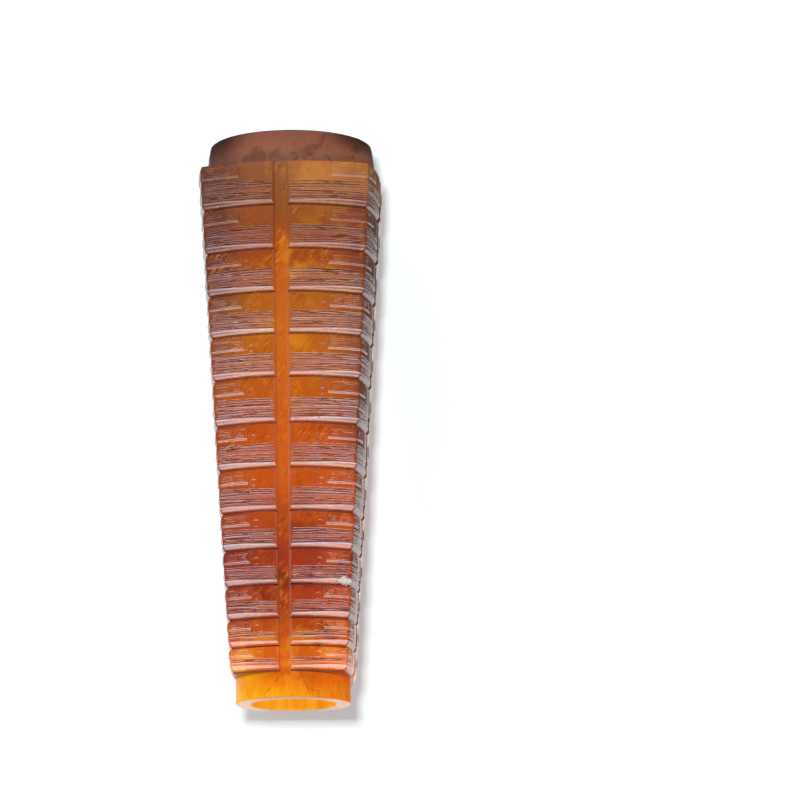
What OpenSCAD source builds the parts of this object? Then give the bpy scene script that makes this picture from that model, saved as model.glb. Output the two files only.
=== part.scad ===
// Tall tapering cong: a round tube inside a square body of thirteen carved tiers, all cut from one block of stone.

/* [Body] */
// Number of carved tiers
tiers = 13; // [9:1:14]
// Number of tiers, from the top, that have the full height
full_tiers = 8; // [5:1:13]
// Height of a full tier
tier_h = 21; // [19:0.5:28]
// How much shorter each tier below the full ones is than the tier above it
tier_shortening = 1.8; // [0:0.1:2]
// Width across two opposite faces at the top of the body
top_w = 88; // [88:0.5:104]
// Width across two opposite faces at the bottom of the body
bottom_w = 58.6; // [58.6:0.2:72]
// Radius of the outward bow of a face at the top of the body
face_r = 240; // [120:5:400]

/* [Tube] */
// Diameter of the bore, drilled right through
bore_d = 41.2; // [30:0.2:46]
// Diameter of the round collar above the body
upper_collar_d = 82.4; // [70:0.2:84]
// Height of the collar above the body
upper_collar_h = 16.5; // [8:0.5:30]
// Diameter of the round collar below the body
lower_collar_d = 55.6; // [52:0.2:55.8]
// Height of the collar below the body
lower_collar_h = 12.5; // [6:0.5:24]
// Chamfer on the polished edges of both collars
rim_chamfer = 0.6; // [0.2:0.1:1.2]

/* [Carving] */
// Width of the upright channel down the middle of each face, at its mouth at the top
channel_w = 7.6; // [6:0.2:9]
// Width of its mouth at the bottom
low_channel_w = 6.4; // [5:0.2:7.4]
// Depth of that channel
channel_depth = 1.4; // [1.4:0.1:1.9]
// How far the channel of the front face stands to the left of the middle
front_channel_off = 1.8; // [0:0.1:3]
// Height of the sloping underside that ends a tier
ledge_h = 2.7; // [1.6:0.1:3]
// How far that underside slopes inwards
ledge_depth = 1.5; // [1.2:0.1:1.8]
// Height of the undercut line between two tiers
undercut_h = 0.6; // [0.3:0.1:1]
// How far the upper of the two lined bands stands out over the lower one
band_step = 0.35; // [0.15:0.05:0.6]
// Length of the nose bar at each side of a corner, on the top tier
nose_len = 18.5; // [14:0.5:20]
// Length of the nose bar at each side of a corner, on the bottom tier
low_nose_len = 11; // [8:0.5:14]
// How far the nose bar stands out from the face
nose_relief = 0.4; // [0.15:0.05:0.6]
// Height of the sloping underside of the nose bar
nose_ledge_h = 0.8; // [0.4:0.1:1]
// Diameter of the ring that stands for an eye
eye_d = 3.2; // [2:0.1:4]
// Width of the tubular drill's groove that makes the ring
eye_groove_w = 0.45; // [0.3:0.05:0.7]
// Depth of that groove
eye_groove_depth = 0.3; // [0.15:0.05:0.5]
// Distance from the end of a nose bar to the middle of the eye beside it
eye_gap = 2.8; // [2.4:0.1:4]

/* [Lime deposit] */
// Tier that carries the patch of white lime, counted from the top
deposit_tier = 10; // [6:1:12]
// Length of the patch along the face
deposit_len = 6; // [3:0.5:9]
// Thickness of the patch
deposit_thick = 0.5; // [0.3:0.1:0.8]
// Distance from the corner of the tier to the patch
deposit_inset = 0.6; // [0.4:0.1:3]

/* [Hidden] */
$fn = 180;

// Heights in a tier, as shares of it counted from its top
nose_top_share = 0.06;
nose_bottom_share = 0.3;
band_step_share = 0.61;

face_step = 90;
half_sides = [-1, 1];
front = 3;
// How much taller each tier was cut than the even series, from the top down
tier_drift = [0.6, 0.5, -0.1, -0.6, -0.2, 1.3, 0.6, -0.3, -1, -0.2, 0.2, -0.5, -0.3];
channel_flare = 0.5;
past = 4;
seat_clearance = 0.02;

function drift(i) = i < len(tier_drift) ? tier_drift[i] : 0;
function tier_height(i) = tier_h - max(0, i + 1 - full_tiers) * tier_shortening + drift(i);
function height_above(i) = i == 0 ? 0 : height_above(i - 1) + tier_height(i - 1);
body_h = height_above(tiers);
body_bottom = lower_collar_h;
body_top = body_bottom + body_h;
total_h = body_top + upper_collar_h;
function tier_top(i) = body_top - height_above(i);

// Half the width of the body's straight taper, from the tube's axis to the middle of a face
taper = (top_w - bottom_w) / 2 / body_h;
function half_w(z) = bottom_w / 2 + taper * (z - body_bottom);

// Each face is turned about an upright line, this far behind the tube's axis
bow_back = face_r - top_w / 2;

// Distance from the middle of a face to its corner, for a given half width
function corner(half) = (sqrt(2 * pow(half + bow_back, 2) - pow(bow_back, 2)) - bow_back) / 2;

// A tier's outline from its top down: field and upper band, lower band, sloping underside, undercut
function tier_outline(i) =
    let (top = tier_top(i), h = tier_height(i), bottom = top - h,
         field = half_w(top), band = field - band_step, floor = band - ledge_depth,
         step_z = top - band_step_share * h, arris_z = bottom + undercut_h + ledge_h)
    [[field, top], [field, step_z], [band, step_z - band_step],
     [band, arris_z], [floor, bottom + undercut_h], [floor, bottom]];
body_outline = [for (i = [0 : tiers - 1]) each tier_outline(i)];

function nose_length(i) = nose_len + (low_nose_len - nose_len) * i / (tiers - 1);
function nose_bottom(i) = tier_top(i) - nose_bottom_share * tier_height(i);
function nose_top(i) = tier_top(i) - nose_top_share * tier_height(i);

// The outline of a tier's nose bar, from its top down to where its sloping underside runs into the face
function nose_outline(i) =
    let (field = half_w(tier_top(i)), outer = field + nose_relief, root = field - nose_relief)
    [[root, nose_top(i)], [outer, nose_top(i)], [outer, nose_bottom(i)],
     [root, nose_bottom(i) - 2 * nose_ledge_h]];
noses_outline = [for (i = [0 : tiers - 1]) each nose_outline(i)];

// A solid whose outline is turned about the line behind the axis, so that it bows outwards
module bowed_face(outline, high, low) {
    from_back = [for (p = outline) [p.x + bow_back, p.y]];
    translate([-bow_back, 0, 0])
        rotate_extrude()
            polygon(concat([[0, high]], from_back, [[0, low]]));
}

// What the four bowed faces have in common: a tower with bowed sides and sharp corners
module four_sided(outline, high, low) {
    intersection() {
        bowed_face(outline, high, low);
        rotate([0, 0, face_step]) bowed_face(outline, high, low);
        rotate([0, 0, 2 * face_step]) bowed_face(outline, high, low);
        rotate([0, 0, 3 * face_step]) bowed_face(outline, high, low);
    }
}

// The nose bars of all tiers, which wrap round the four corners
module noses() {
    intersection() {
        four_sided(noses_outline, nose_top(0), nose_bottom(tiers - 1) - 2 * nose_ledge_h);
        union() {
            for (i = [0 : tiers - 1], k = [0 : 3]) {
                inner = corner(half_w(tier_top(i)) + nose_relief) - nose_length(i);
                rotate([0, 0, k * face_step])
                    translate([inner, inner, nose_bottom(i) - nose_ledge_h - nose_relief])
                        cube([nose_length(i) + past, nose_length(i) + past,
                              nose_top(i) - nose_bottom(i) + nose_ledge_h + 2 * nose_relief]);
            }
        }
    }
}

// One upright channel, which leans with the taper of the face and spreads a little towards the top
module channel() {
    mouth = low_channel_w / 2;
    floor_half = mouth - channel_depth * channel_flare;
    outer_half = floor_half + (channel_depth + past) * channel_flare;
    spread = atan((channel_w - low_channel_w) / 2 / body_h);
    translate([half_w(body_bottom) - channel_depth, 0, body_bottom])
        rotate([0, atan(taper), 0])
            for (side = half_sides)
                rotate([side * spread, 0, 0])
                    translate([0, 0, -past])
                        linear_extrude(height = body_h + 2 * past)
                            polygon([[0, -floor_half], [channel_depth + past, -outer_half],
                                     [channel_depth + past, outer_half], [0, floor_half]]);
}

// The two eyes of one tier on one face, cut square to the bow of the face
module eyes(i) {
    face = half_w(tier_top(i));
    across = corner(face) - nose_length(i) - eye_gap;
    for (side = half_sides)
        translate([-bow_back, 0, nose_bottom(i)])
            rotate([0, 0, side * asin(across / (face + bow_back))])
                translate([face + bow_back - eye_groove_depth, 0, 0])
                    rotate([0, face_step, 0])
                        difference() {
                            cylinder(d = eye_d, h = past);
                            translate([0, 0, -1])
                                cylinder(d = eye_d - 2 * eye_groove_w, h = past + 2);
                        }
}

// The round tube that the tower stands on, with both collars
module tube() {
    upper_r = upper_collar_d / 2;
    lower_r = lower_collar_d / 2;
    rotate_extrude()
        polygon([[0, 0], [lower_r - rim_chamfer, 0], [lower_r, rim_chamfer],
                 [lower_r, body_bottom + undercut_h], [upper_r, body_top - undercut_h],
                 [upper_r, total_h - rim_chamfer], [upper_r - rim_chamfer, total_h],
                 [0, total_h]]);
}

module bore() {
    bore_r = bore_d / 2;
    lip_r = bore_r + rim_chamfer;
    translate([0, 0, -past])
        cylinder(r = bore_r, h = total_h + 2 * past);
    translate([0, 0, -rim_chamfer])
        cylinder(r1 = lip_r + rim_chamfer, r2 = bore_r, h = 2 * rim_chamfer);
    translate([0, 0, total_h - rim_chamfer])
        cylinder(r1 = bore_r, r2 = lip_r + rim_chamfer, h = 2 * rim_chamfer);
}

module cong_body() {
    color("chocolate")
        difference() {
            union() {
                tube();
                four_sided(body_outline, body_top, body_bottom);
                noses();
            }
            bore();
            for (k = [0 : 3])
                rotate([0, 0, k * face_step]) {
                    translate([0, k == front ? -front_channel_off : 0, 0])
                        channel();
                    for (i = [0 : tiers - 1])
                        eyes(i);
                }
        }
}

// A thin patch of lime that has grown on the lower band of one tier, beside its right-hand corner
module lime_deposit() {
    i = deposit_tier - 1;
    z = tier_top(i) - band_step_share * tier_height(i) - 2 * band_step;
    low = tier_top(i) - tier_height(i) + undercut_h + ledge_h;
    face = half_w(tier_top(i)) - band_step + seat_clearance;
    across = corner(face) - deposit_inset;
    color("ivory")
        intersection() {
            rotate([0, 0, -face_step])
                translate([-bow_back, 0, low])
                    difference() {
                        cylinder(r = face + bow_back + deposit_thick, h = z - low);
                        translate([0, 0, -1])
                            cylinder(r = face + bow_back, h = z - low + 2);
                    }
            translate([across - deposit_len, -top_w, 0])
                rotate([-face_step, 0, 0])
                    mirror([0, 1, 0])
                        linear_extrude(height = top_w)
                            polygon([[0, low], [deposit_len * 0.4, low - 1], [deposit_len, low + 0.5],
                                     [deposit_len, z - 0.3], [deposit_len * 0.5, z + 1], [0.4, z - 0.6]]);
        }
}

cong_body();
lime_deposit();
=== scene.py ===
"""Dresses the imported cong: a tall tapering jade tube with thirteen carved tiers.

The stone is one block. It is modelled as two round collars and a ring for each tier, which share one
material and meet face to face, so that the carving can be fine enough without any piece growing too large.
"""

import logging
import math
import random
from dataclasses import dataclass, field
from enum import Enum

import bmesh  # noqa: E402
import bpy  # noqa: E402
import numpy as np  # noqa: E402
from mathutils import Matrix, Vector, noise  # noqa: E402

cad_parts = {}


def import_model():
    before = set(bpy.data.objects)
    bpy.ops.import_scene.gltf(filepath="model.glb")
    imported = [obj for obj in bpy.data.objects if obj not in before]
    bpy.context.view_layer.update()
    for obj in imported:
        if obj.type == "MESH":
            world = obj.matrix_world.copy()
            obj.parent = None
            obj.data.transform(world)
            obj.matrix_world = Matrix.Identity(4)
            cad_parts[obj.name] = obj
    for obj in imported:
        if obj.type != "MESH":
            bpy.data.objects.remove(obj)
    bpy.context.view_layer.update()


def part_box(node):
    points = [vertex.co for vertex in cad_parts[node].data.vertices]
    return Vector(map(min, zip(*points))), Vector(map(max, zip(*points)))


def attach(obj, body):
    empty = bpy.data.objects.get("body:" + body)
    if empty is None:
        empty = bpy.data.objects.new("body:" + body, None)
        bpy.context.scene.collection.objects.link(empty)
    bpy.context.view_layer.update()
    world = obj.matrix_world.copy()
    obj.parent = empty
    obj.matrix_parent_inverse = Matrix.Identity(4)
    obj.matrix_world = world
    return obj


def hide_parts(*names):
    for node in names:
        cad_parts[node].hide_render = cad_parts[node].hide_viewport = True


Tree = bpy.types.NodeTree
Socket = bpy.types.NodeSocket

LOG = logging.getLogger("cong")
MM = 0.001
PHOTO_SIDE = 800
# How far the upper collar reaches down into the first tier, and how much its radius shrinks at the rim
COLLAR_SUNK = 2.5
RIM_DRAW_IN = 1.8


def srgb(code: str, alpha: float = 1.0) -> tuple[float, float, float, float]:
    """Turns an sRGB hex colour into Blender's linear one.

    Args:
        code: Six hex digits, with or without a leading mark.
        alpha: The fourth value.

    Returns:
        Linear red, green, blue and alpha.
    """
    digits = code.lstrip("#")
    shares = [int(digits[k : k + 2], 16) / 255 for k in (0, 2, 4)]
    linear = [c / 12.92 if c <= 0.04045 else ((c + 0.055) / 1.055) ** 2.4 for c in shares]
    return (linear[0], linear[1], linear[2], alpha)


def deselect() -> None:
    """Leaves edit mode and selects nothing."""
    if bpy.context.object and bpy.context.object.mode != "OBJECT":
        bpy.ops.object.mode_set(mode="OBJECT")
    bpy.ops.object.select_all(action="DESELECT")


def smoothstep(low: float, high: float, value: np.ndarray) -> np.ndarray:
    """Rises smoothly from 0 at low to 1 at high."""
    share = np.clip((value - low) / (high - low), 0, 1)
    return share * share * (3 - 2 * share)


def tent(value: np.ndarray, place: float, half_width: float, peak: float = 1.0) -> np.ndarray:
    """Falls straight from its peak at a place, by 1 for each half width, and is held between 0 and 1."""
    return np.clip(peak - np.abs(value - place) / half_width, 0, 1)


# The sizes that the stone was cut to, in millimetres, as in the construction model


@dataclass(frozen=True)
class CongSizes:
    """Driving sizes of the tower and the tube, in millimetres."""

    total_h: float
    top_w: float = 88.0
    tiers: int = 13
    full_tiers: int = 8
    tier_h: float = 21.0
    tier_shortening: float = 1.8
    bottom_w: float = 58.6
    face_r: float = 240.0
    bore_d: float = 41.2
    upper_collar_d: float = 82.4
    lower_collar_d: float = 55.6
    lower_collar_h: float = 12.5
    rim_chamfer: float = 0.6
    channel_w: float = 7.6
    low_channel_w: float = 6.4
    channel_depth: float = 1.4
    front_channel_off: float = 1.8
    channel_flare: float = 0.5
    ledge_h: float = 2.7
    ledge_depth: float = 1.5
    undercut_h: float = 0.6
    band_step: float = 0.35
    nose_len: float = 18.5
    low_nose_len: float = 11.0
    nose_relief: float = 0.4
    nose_ledge_h: float = 0.8
    nose_top_share: float = 0.06
    nose_bottom_share: float = 0.3
    band_step_share: float = 0.61
    eye_d: float = 3.2
    eye_gap: float = 2.8
    tier_drift: tuple[float, ...] = (
        *(0.6, 0.5, -0.1, -0.6, -0.2, 1.3, 0.6),
        *(-0.3, -1.0, -0.2, 0.2, -0.5, -0.3),
    )

    def tier_height(self, i: int) -> float:
        """Height of tier i, counted from the top."""
        shorter = max(0, i + 1 - self.full_tiers) * self.tier_shortening
        return self.tier_h - shorter + self.tier_drift[i]

    @property
    def body_h(self) -> float:
        """Height of all tiers."""
        return sum(self.tier_height(i) for i in range(self.tiers))

    @property
    def body_top(self) -> float:
        """Height at which the upper collar starts."""
        return self.lower_collar_h + self.body_h

    @property
    def taper(self) -> float:
        """How much half the width grows for each millimetre of height."""
        return (self.top_w - self.bottom_w) / 2 / self.body_h

    @property
    def bow_back(self) -> float:
        """How far behind the tube's axis the line lies about which a face is turned."""
        return self.face_r - self.top_w / 2

    def tier_top(self, i: int) -> float:
        """Height of the top of tier i."""
        return self.body_top - sum(self.tier_height(k) for k in range(i))

    def half_w(self, z: float) -> float:
        """Distance from the axis to the middle of a face, on the straight taper."""
        return self.bottom_w / 2 + self.taper * (z - self.lower_collar_h)

    def corner(self, half: np.ndarray) -> np.ndarray:
        """Distance from the middle of a face to its corner, for a given half width."""
        back = self.bow_back
        return (np.sqrt(2 * (half + back) ** 2 - back**2) - back) / 2

    def nose_length(self, i: int) -> float:
        """Length of the nose bar at each side of a corner of tier i."""
        return self.nose_len + (self.low_nose_len - self.nose_len) * i / (self.tiers - 1)


# Carving


@dataclass(frozen=True)
class Stroke:
    """One hand-cut line on a half face, in millimetres.

    Attributes:
        start: Where it starts, as the distance from the corner and the depth below the tier's top.
        end: Where it ends.
        half_width: Half its width.
        depth: Its depth.
        bow: How far its middle strays from the straight line.
    """

    start: tuple[float, float]
    end: tuple[float, float]
    half_width: float
    depth: float
    bow: float = 0.0

    def cut(self, along: np.ndarray, down: np.ndarray) -> np.ndarray:
        """How deep this line cuts at each point.

        Args:
            along: Distance of each point from the corner.
            down: Distance of each point below the tier's top.

        Returns:
            Depth in millimetres, 0 beside the line.
        """
        ds, dt = self.end[0] - self.start[0], self.end[1] - self.start[1]
        length = math.hypot(ds, dt)
        share = ((along - self.start[0]) * ds + (down - self.start[1]) * dt) / length**2
        share = np.clip(share, 0, 1)
        swell = self.bow * 4 * share * (1 - share) / length
        off_s = along - self.start[0] - share * ds + swell * dt
        off_t = down - self.start[1] - share * dt - swell * ds
        return self.depth * np.clip(1 - np.hypot(off_s, off_t) / self.half_width, 0, 1)


def engrave(
    strokes: list[Stroke], along: np.ndarray, down: np.ndarray, lit_from: tuple[float, float]
) -> tuple[np.ndarray, np.ndarray]:
    """Cuts lines into a surface, and finds the side of each that catches the light.

    Args:
        strokes: The lines.
        along: Distance of each point from the corner.
        down: Distance of each point below the tier's top.
        lit_from: How far nearer the corner, and how far below a line, its lit side lies.

    Returns:
        Depth of the cuts, and strength of the lit sides, which give way to the cuts.
    """
    nearer, below = lit_from
    cut, lit = np.zeros_like(along), np.zeros_like(along)
    for stroke in strokes:
        cut = np.maximum(cut, stroke.cut(along, down))
        lit = np.maximum(lit, stroke.cut(along + nearer, down - below))
    return cut, np.clip(lit - 1.6 * cut, 0, None)


def spaced(stops: list[tuple[float, float]], end: float) -> np.ndarray:
    """Places along a line, closer together where detail needs it.

    Args:
        stops: Pairs of a place and the spacing that holds from there on, in order.
        end: The last place.

    Returns:
        Rising places from the first stop to the end.
    """
    places = []
    for k, (start, step) in enumerate(stops):
        stop = stops[k + 1][0] if k + 1 < len(stops) else end
        count = max(1, round((stop - start) / step))
        places.extend(start + (stop - start) * n / count for n in range(count))
    return np.array([*places, end])


@dataclass(frozen=True)
class CarvingTone:
    """How strongly each part of the carving gets painted highlight, or painted shade."""

    ridge: float = 1.3
    nose_ridge: float = 0.5
    eye_lip: float = 0.7
    eye_ring: float = 0.15
    line: float = 1.4
    fret_rim: float = 0.75
    fret: float = 0.4
    roll: float = 0.9
    slope: float = 0.35
    band: float = 0.15
    band_base: float = 0.02
    left_wall: float = 0.3
    right_wall: float = 0.7
    left_foot: float = 0.2
    channel_lip: float = 0.6
    cut_at_lip: float = 9.0


@dataclass
class CarvedTier:
    """One tier of the tower, with its bands, noses, eyes and frets on all four faces, in millimetres.

    Attributes:
        sizes: The cong's driving sizes.
        index: The tier, counted from the top.
        droop: How far a bar sinks for each squared millimetre from the middle of its face.
        top_droop: The same at the very top of the body, which was ground flatter.
        bar_taper: How much thinner a bar is at the channel than at the corner.
        overlap: How far the hidden underside reaches into the next tier.
        tilt: How far a bar may lean over a half face, as it was laid out by eye.
        line_pitch: Distance between the hand-cut lines of a band.
        line_half_width: Half the width of such a line.
        line_depth: Its depth.
        fret_depth: Depth of a fret's lines.
        fret_half_width: Half their width.
        ridge_height: Height of the fine raised line that edges a nose, a band or a ledge.
        ridge_half_width: Half its width.
        eye_groove: Depth of the ring that the drill left.
        band_top_share: Where the upper band starts, as a share of the tier's height.
        corner_margin: How far the lines of a band stay from the corner.
        channel_margin: How far they stay from the channel.
        band_room: Least height that holds a band or a fret.
        corner_wear: How far the corner is worn down.
        inset: How far the field lies inside its nominal place, so that its ridges stay within the size.
        worn: How far a worn arris is rounded to each side.
        tones: How much painted highlight and painted shade the carving gets.
        rng: The tier's own random draws.
        height: The tier's height.
        top: Height of its top above the foot.
        half: Distance from the axis to the middle of a face at that top.
        mouth: Width of a channel's mouth.
        half_face: Length of half a face, round its bow.
        nose_len: Length of a nose bar from the corner.
        nose_top: Depth of the nose's top edge below the tier's top.
        nose_line: Depth at which its sloping underside starts.
        band_top: Depth of the upper band.
        step: Depth of the band step.
        arris: Depth at which the ledge starts.
    """

    sizes: CongSizes
    index: int
    droop: float = 0.00145
    top_droop: float = 0.0009
    bar_taper: float = 1.0
    overlap: float = 0.06
    tilt: float = 0.16
    line_pitch: float = 1.15
    line_half_width: float = 0.35
    line_depth: float = 0.3
    fret_depth: float = 0.2
    fret_half_width: float = 0.24
    ridge_height: float = 0.18
    ridge_half_width: float = 0.28
    eye_groove: float = 0.24
    band_top_share: float = 0.4
    corner_margin: float = 0.8
    channel_margin: float = 0.5
    band_room: float = 2.2
    corner_wear: float = 0.25
    inset: float = 0.16
    worn: float = 0.1
    tones: CarvingTone = CarvingTone()
    rng: random.Random = field(init=False)
    height: float = field(init=False)
    top: float = field(init=False)
    half: float = field(init=False)
    mouth: float = field(init=False)
    half_face: float = field(init=False)
    nose_len: float = field(init=False)
    nose_top: float = field(init=False)
    nose_line: float = field(init=False)
    band_top: float = field(init=False)
    step: float = field(init=False)
    arris: float = field(init=False)

    def __post_init__(self) -> None:
        """Settles the tier's places from the driving sizes."""
        sizes, h = self.sizes, self.sizes.tier_height(self.index)
        self.rng = random.Random(100 + self.index)
        self.height = h
        self.top = sizes.tier_top(self.index)
        self.half = sizes.half_w(self.top)
        self.mouth = self.channel_width(self.top - h / 2)
        radius = sizes.bow_back + self.half
        self.half_face = radius * math.asin(float(sizes.corner(self.half)) / radius)
        self.nose_len = sizes.nose_length(self.index)
        self.nose_top = sizes.nose_top_share * h
        self.nose_line = sizes.nose_bottom_share * h
        self.band_top = self.band_top_share * h + 0.3
        self.step = sizes.band_step_share * h
        self.arris = h - sizes.undercut_h - sizes.ledge_h

    def channel_width(self, z: float) -> float:
        """Width of the channel's mouth at a height."""
        share = (z - self.sizes.lower_collar_h) / self.sizes.body_h
        return self.sizes.low_channel_w + (self.sizes.channel_w - self.sizes.low_channel_w) * share

    def channel_edge(self, centre: float) -> float:
        """Distance from the corner to the channel's mouth, its centre being this far from the middle."""
        return self.half_face - centre - self.mouth / 2

    def sink(self, z: np.ndarray) -> np.ndarray:
        """How far the carving at a height sinks for each squared millimetre from the face's middle."""
        near_top = smoothstep(self.sizes.body_top - self.sizes.tier_h, self.sizes.body_top, z)
        return self.droop + (self.top_droop - self.droop) * near_top

    def columns(self, centre: float) -> np.ndarray:
        """Where the surface is sampled along a half face, most closely at its corner, fret and channel.

        Args:
            centre: How far the channel's centre stands from the middle towards this corner.

        Returns:
            Distances from the corner to the middle of the face.
        """
        edge = self.channel_edge(centre)
        carved = self.nose_len + self.sizes.eye_gap + self.sizes.eye_d / 2 + 0.5
        stops = [(0.0, 0.16), (0.5, 0.55), (max(1.0, self.nose_len - 8.0), 0.34), (carved, 1.0)]
        if edge - 1.6 > carved + 0.9:
            stops.append((edge - 1.6, 0.5))
        stops += [(edge - 0.4, 0.13), (edge + 0.9, 1.0)]
        return spaced(stops, self.half_face)

    def rows(self) -> np.ndarray:
        """Where the surface is sampled down the tier, most closely at its edges and steps.

        Returns:
            Distances below the tier's top.
        """
        undercut = self.height - self.sizes.undercut_h
        stops = [
            (0.0, 0.12),
            (0.3, 0.28),
            (self.nose_top - 0.2, 0.12),
            (self.nose_top + 0.3, 0.2),
            (self.nose_line - 0.4, 0.1),
            (self.nose_line + 0.4, 0.2),
            (self.band_top, 0.18),
            (self.step - 0.35, 0.1),
            (self.step + 0.45, 0.18),
            (self.arris - 0.6, 0.1),
            (self.arris + 0.3, 0.2),
            (undercut - 0.6, 0.1),
            (undercut + 0.1, 0.2),
        ]
        return spaced(stops, self.height + self.overlap)

    def outline(self, down: np.ndarray) -> np.ndarray:
        """The tier's side view: field, band step, sloping ledge and undercut, with worn arrises.

        Args:
            down: Distances below the tier's top.

        Returns:
            How far the surface stands from the field at each.
        """
        sizes, facets, samples = self.sizes, 8, 3
        places = [0, self.step, self.step + sizes.band_step, self.arris]
        heights = [0, 0, -sizes.band_step, -sizes.band_step]
        for k in range(1, facets + 1):
            round_share = 1 - math.sqrt(1 - (k / facets) ** 2)
            places.append(self.arris + sizes.ledge_h * k / facets)
            heights.append(-sizes.band_step - sizes.ledge_depth * (0.4 * k / facets + 0.6 * round_share))
        places.append(self.height + 1)
        heights.append(heights[-1])
        offsets = [self.worn * k / samples for k in range(-samples, samples + 1)]
        rounded = sum(np.interp(down + offset, places, heights) for offset in offsets) / len(offsets)
        top_round = 0.22 * np.clip(1 - down / 0.3, 0, 1) ** 2
        return rounded - top_round - self.inset

    def band_strokes(self, top: float, bottom: float, edge: float) -> list[Stroke]:
        """The fine, slightly crossing lines of one band.

        Args:
            top: Where the band starts, below the tier's top.
            bottom: Where it ends.
            edge: Distance from the corner to the channel.

        Returns:
            Long lines that drift a little, and shorter ones that cross them.
        """
        rng = self.rng
        near, far = self.corner_margin, edge - self.channel_margin
        count = max(2, round((bottom - top) / self.line_pitch))
        pitch = (bottom - top) / count
        strokes = []
        for k in range(count):
            middle = top + (k + 0.5) * pitch
            lean = rng.uniform(-0.32, 0.32) * pitch
            start = (near + rng.uniform(-0.7, 1.0), middle - lean)
            end = (far - rng.uniform(0, 1.0), middle + lean)
            half_width = self.line_half_width * rng.uniform(0.8, 1.15)
            depth = self.line_depth * rng.uniform(0.75, 1.2)
            strokes.append(Stroke(start, end, half_width, depth, rng.uniform(-0.12, 0.12)))
        for _ in range(count):
            start = rng.uniform(near, near + 0.55 * (far - near))
            length = rng.uniform(0.25, 0.5) * (far - near)
            place = rng.uniform(top + 0.25, bottom - 0.25)
            other = place + rng.choice((-1, 1)) * pitch * rng.uniform(0.5, 1.0)
            end = (start + length, min(bottom - 0.1, max(top + 0.1, other)))
            strokes.append(Stroke((start, place), end, self.line_half_width * 0.75, self.line_depth * 0.8))
        return strokes

    def fret_strokes(self, length: float) -> list[Stroke]:
        """The key fret on the panel over a nose: a frame, a squared spiral and a few filling lines.

        Args:
            length: Length of the panel, from the corner.

        Returns:
            The lines, as cuts into the panel.
        """
        rng = self.rng
        high, low = self.nose_top + 0.55, self.nose_line - 0.75
        near, far = 1.0, length - 0.8
        room = low - high
        wide, deep = self.fret_half_width, self.fret_depth

        def line(*ends: float) -> Stroke:
            """One fret line from its two ends, cut by a slightly unsure hand."""
            s0, t0, s1, t1 = (end + rng.uniform(-0.1, 0.1) for end in ends)
            return Stroke((s0, t0), (s1, t1), wide, deep * rng.uniform(0.8, 1.15))

        inset = min(1.0, room * 0.26)
        spiral = min(5.2, 0.34 * length)
        inner = far - inset
        outer, curl = inner - spiral, inner - spiral * 0.72
        strokes = [
            line(near, high, far, high),
            line(far, high, far, low),
            line(near + 1, low, far, low),
            line(inner, high + inset, inner, low - inset),
            line(outer, high + inset, inner, high + inset),
            line(outer, high + inset, outer, low),
            line(curl, low - inset, inner, low - inset),
        ]
        if room > 2.4:
            strokes.append(line(curl, high + 2 * inset, inner - inset, high + 2 * inset))
        fill = max(2, round(room / 0.95))
        for k in range(1, fill):
            place = high + room * k / fill
            strokes.append(line(near + rng.uniform(0, 0.8), place, outer - 0.7, place))
        return strokes

    def nose(self, down: np.ndarray) -> tuple[np.ndarray, np.ndarray]:
        """How much of a nose there is at each depth: below its top edge, and above its sloping underside."""
        below_top = smoothstep(self.nose_top - 0.12, self.nose_top + 0.14, down)
        return below_top, np.clip(1 - (down - self.nose_line) / self.sizes.nose_ledge_h, 0, 1)

    def lean(self, along: np.ndarray, down: np.ndarray, inwards: np.ndarray) -> np.ndarray:
        """Tilts a half face's layout, as laid out by eye, and thins its bar towards the channel.

        Args:
            along: Distance of each point from the corner.
            down: Distance of each point below the tier's top.
            inwards: How near each point is to the channel, from 0 to 1.

        Returns:
            The depth in the straight layout that is carved at each point.
        """
        leaning = down + self.rng.uniform(-self.tilt, self.tilt) * (along / self.half_face - 0.5)
        lowered = self.arris + self.bar_taper * inwards
        bar_share = (leaning - lowered) / (self.height - lowered)
        on_bar = self.arris + bar_share * (self.height - self.arris)
        return np.where(leaning < lowered, leaning * self.arris / lowered, on_bar)

    def half_relief(
        self, along: np.ndarray, down: np.ndarray, centre: float
    ) -> tuple[np.ndarray, np.ndarray]:
        """The carving of one half face.

        Args:
            along: Distance from the corner, one value for each column.
            down: Distance below the tier's top, one for each row.
            centre: How far the channel's centre stands from the middle of the face towards this corner.

        Returns:
            How far the surface stands from the field, and the tone that paints light and shade into its
            colour: painted shade below 0 in a cut, painted highlight above 0 on a raised line.
        """
        rng, sizes, tones, fine = self.rng, self.sizes, self.tones, self.ridge_half_width
        s, t = np.meshgrid(along, down)
        edge = self.channel_edge(centre)
        inwards = smoothstep(0, edge, s)
        leaning = self.lean(s, t, inwards)
        length = self.nose_len + rng.uniform(-0.5, 0.5)
        inside = smoothstep(length + 0.12, length - 0.18, s)
        below_top, slope = self.nose(leaning)

        from_channel = np.abs(self.half_face - centre - s) - self.mouth / 2
        reach = smoothstep(0, 0.5, from_channel)
        band_reach = smoothstep(0.3, 1.6, from_channel)
        nose_ridge = tent(leaning, self.nose_line - 0.1, fine) * inside
        nose_end = tent(s, length - 0.3, fine) * below_top * (slope > 0.98)
        bar_ridge = tent(leaning, self.arris - 0.1, 1.3 * fine) * reach
        step_ridge = tent(leaning, self.step - 0.1, fine) * band_reach
        ridge = np.maximum.reduce([bar_ridge, step_ridge, nose_ridge, 0.8 * nose_end])

        lines = self.band_strokes(self.band_top, self.step - 0.55, edge)
        if self.arris - self.step > self.band_room:
            lines += self.band_strokes(self.step + 0.45, self.arris - 0.45, edge)
        frets = self.fret_strokes(length) if self.nose_line - self.nose_top > self.band_room else []
        cut, lit = engrave(lines, s, leaning, (0.0, 0.5))
        fret, rim = engrave(frets, s, leaning, (0.15, 0.42))

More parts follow.
